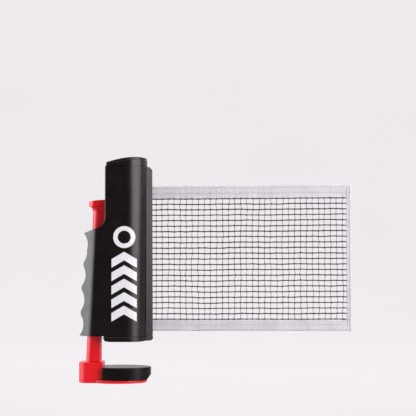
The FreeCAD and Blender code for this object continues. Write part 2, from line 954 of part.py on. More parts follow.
# The column's left side flares out in a hollow curve to the thumb push's left end.
cove_turns = [
    turned(
        f"cove_turn_{i}",
        [
            (0, 124.6),
            (6.5, 124.6),
            (6.75, 126.2),
            (7.3, 127.6),
            (8.1, 128.9),
            (9.0, 129.7),
            (9.9, "thumb_bottom + 0.2"),
            (0, "thumb_bottom + 0.2"),
        ],
    )
    for i in range(2)
]
for cove_turn, across in zip(cove_turns, (-1.4, 1.4)):
    place(cove_turn, -27.0, across)
cove_limit = box("cove_limit", (-40, "- column_half", 120), (-27, "column_half", "thumb_bottom + 0.1"))
cove_flare = common("cove_flare", fuse("cove_pair", *cove_turns), cove_limit)
tenon = box("tenon", (-37.0, -4.5, "foot_top - 14"), (-27.0, 4.5, "foot_top + 1"))
spring_room = box(
    "spring_room",
    ("spring_room_left", "- spring_room_half", "spring_room_bottom"),
    (0, "spring_room_half", "spring_room_top"),
)
FOOT_SCREWS = [(-32.0, 0), (-13.0, 0), (7.0, 0)]
FOOT_SEAT_Z = "foot_bottom + 2.1"
tenon_hole = rod(
    "tenon_hole",
    "foot_screw_radius + hole_play",
    (FOOT_SCREWS[0][0], 0, "foot_bottom"),
    "foot_screw_length + 2.6",
)
slide_column = cut(
    "slide_column_form",
    fuse("column_whole", column_coved, cove_flare, tenon),
    spring_room,
    tenon_hole,
)
keep(slide_column, "slide_column")

# ---------------------------------------------------------------- foot and lower jaw

foot_block = box(
    "foot_block",
    ("foot_left", "- foot_half", "foot_bottom"),
    ("foot_right", "foot_half", "foot_top"),
)
foot_rounded = softened(
    "Part::Fillet",
    "foot_rounded",
    foot_block,
    size("foot_round"),
    [(size("foot_left"), side * size("foot_half"), -30) for side in (-1, 1)],
)
foot_eased = softened(
    "Part::Fillet",
    "foot_eased",
    foot_rounded,
    0.9,
    [
        (size("foot_left"), 0, size("foot_top")),
        (-30, size("foot_half"), size("foot_top")),
        (-30, -size("foot_half"), size("foot_top")),
    ],
)
base_oval = oval(
    "base_oval",
    "plate_middle",
    "plate_long",
    "plate_wide",
    "foot_bottom",
    "foot_bottom + plate_thickness",
)
foot_whole = fuse("foot_whole", foot_eased, base_oval)
foot_under = softened(
    "Part::Fillet",
    "foot_under",
    foot_whole,
    1.3,
    [
        (size("foot_left"), 0, size("foot_bottom")),
        (size("plate_middle") + size("plate_long"), 0, size("foot_bottom")),
        (size("plate_middle"), -size("plate_wide"), size("foot_bottom")),
        (size("plate_middle"), size("plate_wide"), size("foot_bottom")),
        (-34, size("foot_half"), size("foot_bottom")),
        (-34, -size("foot_half"), size("foot_bottom")),
    ],
)
tenon_room = box("tenon_room", (-37.05, -4.55, "foot_top - 14.1"), (-26.95, 4.55, 0))
foot_holes = [
    rod(f"foot_hole_{i}", "foot_screw_radius + hole_play", (x, y, -50), 20)
    for i, (x, y) in enumerate(FOOT_SCREWS)
]
foot_wells = [
    rod(f"foot_well_{i}", "foot_screw_head + 0.1", (x, y, -50), f"50 + {FOOT_SEAT_Z}")
    for i, (x, y) in enumerate(FOOT_SCREWS)
]
jaw_foot = cut("jaw_foot_form", foot_under, tenon_room, *foot_holes, *foot_wells)
keep(jaw_foot, "jaw_foot")

jaw_oval = oval(
    "jaw_oval",
    "jaw_middle",
    "jaw_long",
    "jaw_wide",
    "foot_bottom + plate_thickness",
    "- jaw_gap",
)
jaw_half_space = box("jaw_half_space", ("foot_right", -40, -60), (60, 40, 0))
jaw_kept = common("jaw_kept", jaw_oval, jaw_half_space)
jaw_nose_cut = slab(
    "jaw_nose_cut",
    [
        ("jaw_middle + jaw_long + 1", "- jaw_gap - 5.4"),
        ("jaw_middle + jaw_long", "- jaw_gap - 7.4"),
        ("jaw_middle + jaw_long - 3.9", "foot_bottom + plate_thickness - 0.2"),
        ("jaw_middle + jaw_long + 1", "foot_bottom + plate_thickness - 0.2"),
    ],
    60,
)
jaw_trimmed = cut("jaw_trimmed", jaw_kept, jaw_nose_cut)
jaw_top = softened(
    "Part::Fillet",
    "jaw_top",
    jaw_trimmed,
    0.8,
    [(size("jaw_middle"), -size("jaw_wide"), -size("jaw_gap"))],
)
jaw_holes = [
    rod(f"jaw_hole_{i}", "foot_screw_radius + hole_play", (x, y, -40), 13.4)
    for i, (x, y) in enumerate(FOOT_SCREWS[1:])
]
keep(cut("jaw_block_form", jaw_top, *jaw_holes), "jaw_block")

foot_screw = screw("foot_screw", "foot_screw_radius", "foot_screw_head", 1.7, "foot_screw_length")
keep(
    placed_copies(
        "foot_screws",
        foot_screw,
        [(x, y, FOOT_SEAT_Z) for x, y in FOOT_SCREWS],
        FreeCAD.Rotation(FreeCAD.Vector(1, 0, 0), 180),
    ),
    "foot_screws",
)

# ---------------------------------------------------------------- roller

axle = turned(
    "axle",
    [
        (0, "axle_bottom"),
        ("axle_radius - 0.5", "axle_bottom"),
        ("axle_radius", "axle_bottom + 0.5"),
        ("axle_radius", "web_top + 0.4"),
        ("axle_radius - 0.5", "web_top + 0.4"),
        ("axle_radius - 0.5", "web_top + 1.2"),
        ("axle_radius", "web_top + 1.2"),
        ("axle_radius", "axle_top"),
        (0, "axle_top"),
    ],
)
keep(axle, "roller_axle")

clip_ring = turned(
    "clip_ring",
    [
        ("axle_radius - 0.48", "web_top + 0.42"),
        ("axle_radius + 2.2", "web_top + 0.42"),
        ("axle_radius + 2.2", "web_top + 1.18"),
        ("axle_radius - 0.48", "web_top + 1.18"),
    ],
)
clip_mouth = box("clip_mouth", (-1.8, 0, "web_top"), (1.8, 10, "web_top + 2"))
keep(cut("clip_form", clip_ring, clip_mouth), "axle_clip")

tube_blank = turned(
    "tube_blank",
    [
        ("roller_bore", "roller_bottom"),
        ("roller_radius", "roller_bottom"),
        ("roller_radius", "roller_top"),
        ("roller_bore", "roller_top"),
    ],
)
clip_slot = box("clip_slot", (4, -1.3, 20), (10, 1.3, 140))
keep(cut("tube_form", tube_blank, clip_slot), "roller_tube")
keep(box("clip_strip", ("roller_bore + 0.1", -1.25, 20.1), ("roller_radius - 0.2", 1.25, 139.9)), "net_clip_strip")


def bush(name, flange_end, shoulder, plug_end):
    """A flanged bush: the flange from flange_end to shoulder, the plug on to plug_end."""
    return turned(
        name,
        [
            ("axle_radius + hole_play", flange_end),
            ("roller_radius + 1.1", flange_end),
            ("roller_radius + 1.1", shoulder),
            ("roller_bore - hole_play", shoulder),
            ("roller_bore - hole_play", plug_end),
            ("axle_radius + hole_play", plug_end),
        ],
    )


keep(bush("bush_low", "shell_bottom + 1.8", "roller_bottom", "roller_bottom + 8"), "lower_bush")
keep(bush("bush_high", "web_bottom - 0.3", "roller_top", "roller_top - 8"), "upper_bush")
rewind_spring = coil(
    "rewind_coil",
    "rewind_radius",
    "rewind_wire",
    2.2,
    "rewind_length",
    (0, 0, "rewind_bottom"),
)
keep(rewind_spring, "rewind_spring")

net_roll = turned(
    "net_roll",
    [
        ("roller_radius + 0.05", "net_bottom"),
        ("roll_radius", "net_bottom"),
        ("roll_radius", "net_top"),
        ("roller_radius + 0.05", "net_top"),
    ],
)
keep(net_roll, "net_roll")

# ---------------------------------------------------------------- drawn net

# The net leaves the roll at a tangent, crosses the chamber to the slot, and runs out along X.
LEAD_ANGLE = math.acos(size("lead_radius") / size("net_start"))
LEAD_LENGTH = size("net_start") * math.sin(LEAD_ANGLE)


def net_strip(name, bottom, top):
    """A stretch of the drawn net from one height to another."""
    run = box(name + "_run", ("net_start", "- net_half", bottom), ("net_end", "net_half", top))
    lead = doc.addObject("Part::Box", name + "_lead")
    lead.Placement = FreeCAD.Placement(
        FreeCAD.Vector(), FreeCAD.Rotation(FreeCAD.Vector(0, 0, 1), 90 + math.degrees(LEAD_ANGLE))
    )
    lead.Length = LEAD_LENGTH
    lead.Width = 2 * size("net_half")
    bind(lead, "Height", f"( {top} ) - ( {bottom} )")
    place(lead, "net_start + net_half", -0.1, bottom)
    return fuse(name, run, lead)


keep(net_strip("band_low", "net_bottom", "net_bottom + band_height"), "net_band_bottom")
keep(net_strip("mesh", "net_bottom + band_height", "net_top - band_height"), "net_mesh")
keep(net_strip("band_high", "net_top - band_height", "net_top"), "net_band_top")

hem_sleeve = turned(
    "hem_sleeve",
    [
        ("end_rod_radius + 0.05", "net_bottom"),
        ("hem_radius", "net_bottom"),
        ("hem_radius", "net_top"),
        ("end_rod_radius + 0.05", "net_top"),
    ],
)
place(hem_sleeve, "net_end + hem_radius + 0.1")
keep(hem_sleeve, "end_hem")
end_rod = turned(
    "end_rod",
    [
        (0, "net_bottom - 1.5"),
        ("end_rod_radius - 0.3", "net_bottom - 1.5"),
        ("end_rod_radius", "net_bottom - 1.2"),
        ("end_rod_radius", "net_top + 1.2"),
        ("end_rod_radius - 0.3", "net_top + 1.5"),
        (0, "net_top + 1.5"),
    ],
)
place(end_rod, "net_end + hem_radius + 0.1")
keep(end_rod, "end_rod")

# ---------------------------------------------------------------- check and write

doc.recompute()
for part in doc.Objects:
    if "Invalid" in part.State or "Error" in part.State:
        raise RuntimeError(f"{part.Name} failed: {part.State}")

os.makedirs("parts", exist_ok=True)
for part in NODES:
    shape = part.Shape
    if shape.isNull() or not shape.isValid() or not shape.Solids:
        raise RuntimeError(f"{part.Label} has no valid solid")
    shape.exportStep(f"parts/{part.Label}.step")
    print(f"{part.Label}: {len(shape.Solids)} solid(s), {shape.Volume / 1000:.2f} cm3")
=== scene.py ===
"""The looks of a table tennis net clamp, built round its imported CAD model. Metres, +Z up, the front
of the clamp faces -Y, and the net is drawn out along +X."""

import json
import math
import random

import bmesh
import bpy
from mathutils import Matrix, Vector, noise


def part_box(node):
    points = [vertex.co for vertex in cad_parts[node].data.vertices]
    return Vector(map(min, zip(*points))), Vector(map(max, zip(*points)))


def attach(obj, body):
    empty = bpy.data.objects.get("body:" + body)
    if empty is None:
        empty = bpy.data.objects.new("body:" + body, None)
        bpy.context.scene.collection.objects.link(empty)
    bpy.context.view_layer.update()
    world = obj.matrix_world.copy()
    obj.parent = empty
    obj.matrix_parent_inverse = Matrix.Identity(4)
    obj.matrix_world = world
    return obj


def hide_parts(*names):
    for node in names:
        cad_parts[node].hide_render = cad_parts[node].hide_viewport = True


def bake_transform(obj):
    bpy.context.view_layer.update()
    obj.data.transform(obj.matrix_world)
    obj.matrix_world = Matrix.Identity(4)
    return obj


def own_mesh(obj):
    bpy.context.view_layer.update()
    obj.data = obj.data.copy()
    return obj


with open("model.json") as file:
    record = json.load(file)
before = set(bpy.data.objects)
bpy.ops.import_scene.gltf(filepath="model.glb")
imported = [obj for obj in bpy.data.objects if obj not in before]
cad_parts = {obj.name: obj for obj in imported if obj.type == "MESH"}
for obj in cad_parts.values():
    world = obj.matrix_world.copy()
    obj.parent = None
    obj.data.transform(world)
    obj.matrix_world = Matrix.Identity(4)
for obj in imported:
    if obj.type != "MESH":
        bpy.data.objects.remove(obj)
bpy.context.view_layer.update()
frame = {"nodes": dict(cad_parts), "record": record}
MM = 0.001

# ---------------------------------------------------------------- camera, floor and lights

CAMERA_AT = Vector((0.078, -1.100, 0.0727))
LENS = 98.0
TILT_UP = 2.55
SHIFT_UP = 0.0175

camera_data = bpy.data.cameras.new("Camera")
camera_data.sensor_width = 36.0
camera_data.lens = LENS
camera_data.shift_y = SHIFT_UP
camera_data.clip_start = 0.01
camera_data.clip_end = 50.0
camera = bpy.data.objects.new("Camera", camera_data)
camera.location = CAMERA_AT
camera.rotation_euler = (math.radians(90 + TILT_UP), 0, 0)
bpy.context.scene.collection.objects.link(camera)
bpy.context.scene.camera = camera
bpy.context.scene.view_settings.view_transform = "Standard"


def link(name, mesh, material):
    thing = bpy.data.objects.new(name, mesh)
    bpy.context.scene.collection.objects.link(thing)
    mesh.materials.append(material)
    return thing


def softbox(name, at, aim, size, watts, color=(1, 1, 1)):
    data = bpy.data.lights.new(name, "AREA")
    data.shape = "RECTANGLE"
    data.size, data.size_y = size
    data.energy = watts
    data.color = color
    lamp = bpy.data.objects.new(name, data)
    lamp.location = at
    lamp.rotation_euler = (Vector(aim) - Vector(at)).to_track_quat("-Z", "Z").to_euler()
    bpy.context.scene.collection.objects.link(lamp)
    return lamp


MIDDLE = (0.0, 0.0, 0.075)
side_boxes = [
    softbox("left_box", (-1.20, -0.08, 0.22), MIDDLE, (1.1, 1.2), 23.5, (0.985, 0.99, 1.0)),
    softbox("right_box", (0.86, -0.60, 0.36), MIDDLE, (0.80, 1.1), 19.0, (1.0, 0.955, 0.99)),
]
softbox("top_box", (0.0, -0.1, 1.2), MIDDLE, (1.2, 0.7), 8.0)
softbox("back_box", (0.1, 1.2, 1.1), MIDDLE, (1.2, 0.9), 9.0)

world = bpy.data.worlds.new("World")
world.use_nodes = True
world.node_tree.nodes["Background"].inputs["Color"].default_value = (0.86, 0.86, 0.885, 1)
world.node_tree.nodes["Background"].inputs["Strength"].default_value = 0.07
bpy.context.scene.world = world

# ---------------------------------------------------------------- materials


class Shader:
    """A Principled material with helpers for its procedural detail."""

    def __init__(self, name, color, roughness, **values):
        self.material = bpy.data.materials.new(name)
        self.material.use_nodes = True
        self.nodes = self.material.node_tree.nodes
        self.links = self.material.node_tree.links
        self.out = self.nodes["Principled BSDF"]
        self.out.inputs["Base Color"].default_value = (*color, 1)
        self.out.inputs["Roughness"].default_value = roughness
        for key, value in values.items():
            self.out.inputs[key.replace("_", " ")].default_value = value
        self.coords = self.nodes.new("ShaderNodeTexCoord").outputs["Object"]

    def node(self, kind, **settings):
        made = self.nodes.new("ShaderNode" + kind)
        for key, value in settings.items():
            if hasattr(made, key):
                setattr(made, key, value)
            else:
                made.inputs[key].default_value = value
        return made

    def noise(self, scale, detail=3.0, rough=0.5, stretch=None):
        coords = self.coords
        if stretch:
            mapping = self.node("Mapping")
            mapping.inputs["Scale"].default_value = stretch
            self.links.new(coords, mapping.inputs["Vector"])
            coords = mapping.outputs["Vector"]
        made = self.node("TexNoise", Scale=scale, Detail=detail, Roughness=rough)
        self.links.new(coords, made.inputs["Vector"])
        return made.outputs["Fac"]

    def ramp(self, source, low, high, start=0.3, end=0.7):
        """source mapped from start..end to the two colours or numbers."""
        colours = isinstance(low, tuple)
        to = (0.0, 1.0) if colours else (low, high)
        spread = self.node("MapRange")
        for key, value in zip(("From Min", "From Max", "To Min", "To Max"), (start, end, *to)):
            spread.inputs[key].default_value = value
        self.links.new(source, spread.inputs["Value"])
        if not colours:
            return spread.outputs["Result"]
        made = self.node("Mix", data_type="RGBA")
        made.inputs[6].default_value = (*low, 1)
        made.inputs[7].default_value = (*high, 1)
        self.links.new(spread.outputs["Result"], made.inputs[0])
        return made.outputs[2]

    def set(self, key, source):
        self.links.new(source, self.out.inputs[key])

    def shade(self, source, dark, light, start=0.3, end=0.7):
        """The base colour goes from dark to light as source goes from start to end."""
        self.set("Base Color", self.ramp(source, dark, light, start, end))

    def bump(self, source, strength, distance):
        """One more layer of bump on top of those already there."""
        made = self.node("Bump", Strength=strength, Distance=distance)
        self.links.new(source, made.inputs["Height"])
        normal = self.out.inputs["Normal"]
        if normal.is_linked:
            self.links.new(normal.links[0].from_socket, made.inputs["Normal"])
        self.links.new(made.outputs["Normal"], normal)


def moulded(name, dark, light, smooth, rough, grain=1500, depth=0.00004, **values):
    """A moulded plastic: a fine spark-eroded grain, a slow waviness and a patchy gloss."""
    made = Shader(name, dark, smooth, **values)
    made.shade(made.noise(60, 4), dark, light)
    made.set("Roughness", made.ramp(made.noise(140, 5, 0.6), smooth, rough))
    made.bump(made.noise(25, 2), 0.12, 0.0004)
    made.bump(made.noise(grain, 2, 0.6), 0.35, depth)
    return made.material


black = moulded(
    "black_plastic", (0.0034, 0.0016, 0.0011), (0.0060, 0.0034, 0.0027), 0.27, 0.36, Specular_IOR_Level=0.34
)
red = moulded(
    "red_plastic",
    (0.60, 0.0008, 0.006),
    (0.68, 0.002, 0.009),
    0.29,
    0.37,
    grain=900,
    depth=0.00002,
    Specular_IOR_Level=0.42,
)
rubber = moulded(
    "jaw_rubber",
    (0.0035, 0.0022, 0.0018),
    (0.0068, 0.0046, 0.0039),
    0.24,
    0.33,
    grain=2200,
    Specular_IOR_Level=0.14,
)
ivory = moulded("bush_plastic", (0.56, 0.55, 0.51), (0.63, 0.62, 0.58), 0.4, 0.5)
rod_pale = moulded("rod_plastic", (0.50, 0.50, 0.53), (0.58, 0.58, 0.60), 0.35, 0.5)

steel_made = Shader("steel", (0.5, 0.5, 0.5), 0.35, Metallic=1.0)
steel_made.shade(steel_made.noise(300, 4), (0.46, 0.46, 0.45), (0.62, 0.62, 0.63))
steel_made.set("Roughness", steel_made.ramp(steel_made.noise(900, 3, 0.6, (1, 1, 8)), 0.25, 0.42))
steel_made.bump(steel_made.noise(2500, 2, 0.5, (1, 1, 10)), 0.2, 0.00003)
steel = steel_made.material

cord_made = Shader("net_cord", (0.05, 0.04, 0.042), 0.7, Sheen_Weight=0.15, Sheen_Roughness=0.5)
cord_made.shade(cord_made.noise(420, 4), (0.010, 0.006, 0.007), (0.028, 0.019, 0.022))
twist = cord_made.node("TexWave", wave_type="BANDS", bands_direction="DIAGONAL", Scale=3.0, Distortion=0.5)
cord_uv = cord_made.node("UVMap")
cord_made.links.new(cord_uv.outputs["UV"], twist.inputs["Vector"])
cord_made.bump(twist.outputs["Fac"], 0.6, 0.0002)
cord_made.bump(cord_made.noise(3500, 3), 0.4, 0.0001)
cord = cord_made.material

tape_made = Shader("net_tape", (0.7, 0.7, 0.74), 0.75, Sheen_Weight=0.2, Alpha=0.5)
tape_made.shade(tape_made.noise(55, 4), (0.56, 0.55, 0.575), (0.655, 0.645, 0.67))
for direction, fineness in (("X", 1050), ("Z", 800)):
    threads = tape_made.node("TexWave", wave_type="BANDS", bands_direction=direction, Distortion=0.6)
    threads.inputs["Scale"].default_value = fineness / math.tau
    tape_made.links.new(tape_made.coords, threads.inputs["Vector"])
    tape_made.bump(threads.outputs["Fac"], 0.35, 0.00008)
tape_made.bump(tape_made.noise(90, 3), 0.3, 0.0006)
tape = tape_made.material

thread_made = Shader("stitch_thread", (0.8, 0.8, 0.82), 0.6, Sheen_Weight=0.2)
thread_made.shade(thread_made.noise(700, 3), (0.72, 0.72, 0.75), (0.84, 0.84, 0.86))
thread_made.bump(thread_made.noise(5000, 2), 0.4, 0.00006)
thread = thread_made.material

ink_made = Shader("white_print", (0.82, 0.82, 0.84), 0.42, Specular_IOR_Level=0.2)
ink_made.shade(ink_made.noise(180, 4), (0.57, 0.57, 0.59), (0.63, 0.63, 0.65))
ink_made.bump(ink_made.noise(1500, 2, 0.6), 0.2, 0.00003)
ink = ink_made.material

# The floor glows evenly. In reflections it is dimmer in front of the object and low down, as a dark
# studio is.
floor_made = Shader("pale_floor", (0.1, 0.1, 0.1), 0.95, Specular_IOR_Level=0.1)
floor_made.out.inputs["Emission Color"].default_value = (0.795, 0.765, 0.795, 1)
floor_made.shade(floor_made.noise(3, 2), (0.09, 0.09, 0.09), (0.11, 0.11, 0.11))
floor_axes = floor_made.node("SeparateXYZ")
floor_made.links.new(floor_made.coords, floor_axes.inputs["Vector"])
glow = floor_made.node("Mix", data_type="FLOAT")
floor_made.links.new(floor_made.node("LightPath").outputs["Is Glossy Ray"], glow.inputs[0])
floor_made.links.new(floor_made.ramp(floor_axes.outputs["Y"], 0.98, 1.03, 0.5, 1.9), glow.inputs[2])
fading = floor_made.node("Math", operation="MULTIPLY")
floor_made.links.new(floor_made.ramp(floor_axes.outputs["Y"], 0.06, 1.0, -0.9, -0.3), fading.inputs[0])
floor_made.links.new(floor_made.ramp(floor_axes.outputs["Z"], 0.62, 1.1, -0.13, 0.25), fading.inputs[1])
floor_made.links.new(fading.outputs[0], glow.inputs[3])
floor_made.set("Emission Strength", glow.outputs[0])

FINISHES = {
    "black_plastic": black,
    "red_plastic": red,
    "jaw_rubber": rubber,
    "steel": steel,
    "bush_plastic": ivory,
    "net_cord": cord,
    "net_tape": tape,
    "rod_plastic": rod_pale,
}
for entry in frame["record"]["subparts"]:
    part = frame["nodes"][entry["node"]]
    part.data.materials.clear()
    part.data.materials.append(FINISHES[entry["material_slot"]])

# ---------------------------------------------------------------- floor

FLOOR_Z = -0.13
backdrop = bmesh.new()
profile = [(-12.0, 0.0), (1.2, 0.0)]
sweep = [math.radians(a) for a in range(6, 91, 6)]
profile += [(1.2 + 1.2 * math.sin(a), 1.2 - 1.2 * math.cos(a)) for a in sweep]
profile += [(2.4, 6.0)]
rows = [[backdrop.verts.new((x, y, FLOOR_Z + z)) for x in (-16.0, 16.0)] for y, z in profile]
for one, two in zip(rows, rows[1:]):
    backdrop.faces.new((one[0], one[1], two[1], two[0]))
floor_mesh = bpy.data.meshes.new("floor")
backdrop.to_mesh(floor_mesh)
backdrop.free()
for face in floor_mesh.polygons:
    face.use_smooth = True
floor = link("floor", floor_mesh, floor_made.material)

# Far walls in front and at the sides close the horizon behind the object in the other views. They
# are left out of the object's light and reflections.
corners = [(16.0, 2.4), (16.0, -12.0), (-16.0, -12.0), (-16.0, 2.4)]
wall_mesh = bpy.data.meshes.new("far_walls")
wall_mesh.from_pydata(
    [(x, y, FLOOR_Z + z) for z in (0.0, 12.0) for x, y in corners],
    [],
    [(k, k + 1, k + 5, k + 4) for k in range(3)],
)
far_walls = link("far_walls", wall_mesh, floor_made.material)
far_walls.visible_diffuse = False
far_walls.visible_glossy = False

unlit = bpy.data.collections.new("unlit_by_side_boxes")
for backing in (floor, far_walls):
    unlit.objects.link(backing)
for held in unlit.collection_objects:
    held.light_linking.link_state = "EXCLUDE"
for lamp in side_boxes:
    lamp.light_linking.receiver_collection = unlit

# ---------------------------------------------------------------- mesh helpers


class Sheet:
    """Collects vertices, faces and UVs for one mesh."""

    def __init__(self):
        self.points, self.faces, self.uvs = [], [], []

    def add(self, points, faces, uvs=()):
        """Adds faces on their own points. Corners that uvs doesn't reach get (0, 0)."""
        start = len(self.points)
        self.points += [tuple(p) for p in points]
        self.faces += [tuple(start + i for i in face) for face in faces]
        corners = sum(len(face) for face in faces)
        self.uvs += [*uvs] + [(0, 0)] * (corners - len(uvs))

    def loft(self, rings, uvs=(), flipped=False):
        """Joins closed rings in a row, with flat ends. flipped turns the faces over."""
        n, last = len(rings[0]), len(rings) - 1
        faces = [
            (s * n + k, s * n + (k + 1) % n, (s + 1) * n + (k + 1) % n, (s + 1) * n + k)
            for s in range(last)
            for k in range(n)
        ]
        faces += [tuple(reversed(range(n))), tuple(range(last * n, last * n + n))]
        if flipped:
            faces = [tuple(reversed(face)) for face in faces]
        self.add([p for ring in rings for p in ring], faces, uvs)

    def mesh(self, name, smooth=True):
        made = bpy.data.meshes.new(name)
        made.from_pydata(self.points, [], self.faces)
        layer = made.uv_layers.new(name="UVMap")
        for loop, uv in zip(layer.data, self.uvs):
            loop.uv = uv
        for face in made.polygons:
            face.use_smooth = smooth
        made.validate()
        return made


def tube(into, points, radii, sides=6, turn_length=0.0016):
    """A round strand through points, with closed ends. UV: u along it in turns, v round it."""
    points = [Vector(p) for p in points]
    count = len(points)
    angles = [math.tau * k / sides for k in range(sides)]
    rings, along, travelled = [], [], 0.0
    normal = None
    for i, point in enumerate(points):
        before, after = points[max(i - 1, 0)], points[min(i + 1, count - 1)]
        tangent = (after - before).normalized()
        if normal is None:
            side = Vector((0, 1, 0)) if abs(tangent.y) < 0.9 else Vector((1, 0, 0))
            normal = side.cross(tangent).normalized()
        normal = (normal - tangent * normal.dot(tangent)).normalized()
        other = tangent.cross(normal)
        radius = radii[i] if hasattr(radii, "__len__") else radii
        rings.append([point + radius * (math.cos(a) * normal + math.sin(a) * other) for a in angles])
        travelled += (point - before).length if i else 0.0
        along.append(travelled / turn_length)
    uvs = []
    for here, ahead in zip(along, along[1:]):
        for k in range(sides):
            low, high = k / sides, (k + 1) / sides
            uvs += [(here, low), (here, high), (ahead, high), (ahead, low)]
    into.loft(rings, uvs)


def curved(points, parts):
    """points joined by a smooth line, each span cut in parts."""
    points = [Vector(p) for p in points]
    line = []
    for i in range(len(points) - 1):
        a, b, c, d = points[max(i - 1, 0)], points[i], points[i + 1], points[min(i + 2, len(points) - 1)]
        for k in range(parts):
            t = k / parts
            bend = (2 * a - 5 * b + 4 * c - d) * t**2 + (3 * b - a - 3 * c + d) * t**3
            line.append(0.5 * (2 * b + (c - a) * t + bend))
    return line + [points[-1]]


# ---------------------------------------------------------------- the drawn net

low_band, high_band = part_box("net_band_bottom"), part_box("net_band_top")
NET_START, NET_END = low_band[0].x, low_band[1].x
LEAD_TOP_Y = low_band[1].y
LEAD_BEND_X = 0.0172
SLOT_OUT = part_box("front_shell")[1].x

FIRST_COLUMN = SLOT_OUT + 3.3 * MM
COLUMN_PITCH = 5.84 * MM
ROW_LOW, ROW_HIGH, ROWS = low_band[1].z - 1.0 * MM, high_band[0].z, 22
ROW_PITCH = (ROW_HIGH - ROW_LOW) / ROWS
BAND_LOW, BAND_HIGH = low_band[0].z - 0.2 * MM, high_band[1].z + 0.6 * MM
RISE, RISE_LENGTH = 1.5 * MM, 165 * MM
HELD_AT_SLOT, HELD_AT_HEM = 12 * MM, 6 * MM
WANDER = 0.2 * MM
CORD, HEAVY, FINE = 0.58 * MM, 0.62 * MM, 0.24 * MM
TUCKED = 0.72
ROW_PARTS = 5
SLACK = 1e-6
random.seed(7)
noise.seed_set(7)


def share_of(value):
    return min(max(value, 0.0), 1.0)


def lead_y(x):
    """The net leaves the back of the roll and turns into the slot's middle plane."""
    if x >= LEAD_BEND_X:
        return 0.0
    return (LEAD_TOP_Y - 0.35 * MM) * (LEAD_BEND_X - x) / (LEAD_BEND_X - NET_START)


def lift(x, z):
    """The net's top edge rises a little on its way out."""
    out = share_of((x - SLOT_OUT) / RISE_LENGTH)
    up = (z - ROW_LOW) / (BAND_HIGH - ROW_LOW)
    return RISE * (out - 0.5) * max(up, 0.0)


def free(x):
    """How freely the cords lie: not at all in the slot and at the hem."""
    return share_of((x - SLOT_OUT) / HELD_AT_SLOT) * share_of((NET_END - x) / HELD_AT_HEM)


def sway(x, z):
    """How far the tapes, and the cords in and near them, wander to the front or back."""
    low = share_of(1 - (z - ROW_LOW) / (3 * ROW_PITCH)) * noise.noise((x * 45, 6.3, 0))
    high = share_of(1 - (ROW_HIGH - z) / (3 * ROW_PITCH)) * noise.noise((x * 45, 41.4, 0))
    return WANDER * free(x) * (low + high)


def in_tape(z):
    return z < ROW_LOW - SLACK or z > ROW_HIGH + SLACK


def on_border(z):
    """Whether a row is the heavy one where a tape ends."""
    return abs(z - ROW_LOW) < SLACK or abs(z - ROW_HIGH) < SLACK


inward = int((FIRST_COLUMN - NET_START - 1 * MM) / COLUMN_PITCH)
outward = int((NET_END - 2 * MM - FIRST_COLUMN) / COLUMN_PITCH)
columns = [FIRST_COLUMN + COLUMN_PITCH * k for k in range(-inward, outward + 1)]
rows_z = [ROW_LOW + ROW_PITCH * j for j in range(-2, ROWS + 3)]
rows_z = [z for z in rows_z if BAND_LOW + 0.5 * MM < z < BAND_HIGH - 0.5 * MM]

# Each knot wanders slowly with its neighbours, and a little by itself.
knots = {}
for i, x in enumerate(columns):
    for j, z in enumerate(rows_z):
        slow = noise.noise_vector((x * 28, 0, z * 20))
        loose = free(x)
        dx = loose * (0.8 * MM * slow.x + random.uniform(-0.5, 0.5) * MM)
        steady = 0.35 if in_tape(z) or on_border(z) else 1.0
        dz = loose * steady * (0.55 * MM * slow.z + random.uniform(-0.2, 0.2) * MM)
        y = lead_y(x) + sway(x + dx, z) + (0.0 if in_tape(z) else loose * 0.1 * MM * slow.y)
        knots[i, j] = Vector((x + dx, y, z + dz + lift(x, z)))


def row_cord(j, z):
    """A thick cord along the net, thickest where it is knotted to the columns."""
    tucked = TUCKED if in_tape(z) else 1.0
    thick = (HEAVY if on_border(z) else CORD) * tucked * random.uniform(0.92, 1.08)
    first = Vector((NET_START, lead_y(NET_START), z + lift(NET_START, z)))
    last = Vector((NET_END, 0, z + lift(NET_END, z)))
    forward = Vector((0, 0.1 * MM * tucked, 0))
    line = curved([first] + [knots[i, j] - forward for i in range(len(columns))] + [last], ROW_PARTS)
    for point in line:
        point.z += free(point.x) * random.uniform(-0.045, 0.045) * MM
    radii = []
    for k in range(len(line)):
        step = k % ROW_PARTS
        from_knot = min(step, ROW_PARTS - step) / (ROW_PARTS / 2)
        radii.append(thick * (1.22 - 0.3 * min(from_knot * 1.6, 1.0)) * random.uniform(0.93, 1.07))
    tube(cords, line, radii, 7)


def column_cord(i, x):
    """A thin cord up the net, which passes in front of and behind the rows in turn."""
    thick = FINE * random.uniform(0.85, 1.15)
    low = knots[i, 0] + Vector((0, 0, BAND_LOW + 0.6 * MM - rows_z[0]))
    high = knots[i, len(rows_z) - 1] + Vector((0, 0, BAND_HIGH - 0.6 * MM - rows_z[-1]))
    through = [low]
    for j, z in enumerate(rows_z):
        side = 0.22 * MM if (i + j) % 2 else -0.22 * MM
        side *= 0.3 if in_tape(z) else 1.0
        through.append(knots[i, j] + Vector((0, side, 0)))
        if j < len(rows_z) - 1:
            middle = (knots[i, j] + knots[i, j + 1]) / 2
            middle.x += free(x) * random.uniform(-0.3, 0.3) * MM
            through.append(middle)
    line = curved(through + [high], 3)
    tube(cords, line, [thick * random.uniform(0.9, 1.12) for _ in line], 6)


cords = Sheet()
for j, z in enumerate(rows_z):
    row_cord(j, z)
for i, x in enumerate(columns):
    column_cord(i, x)

net_cords = link("net_cords", cords.mesh("net_cords"), cord)


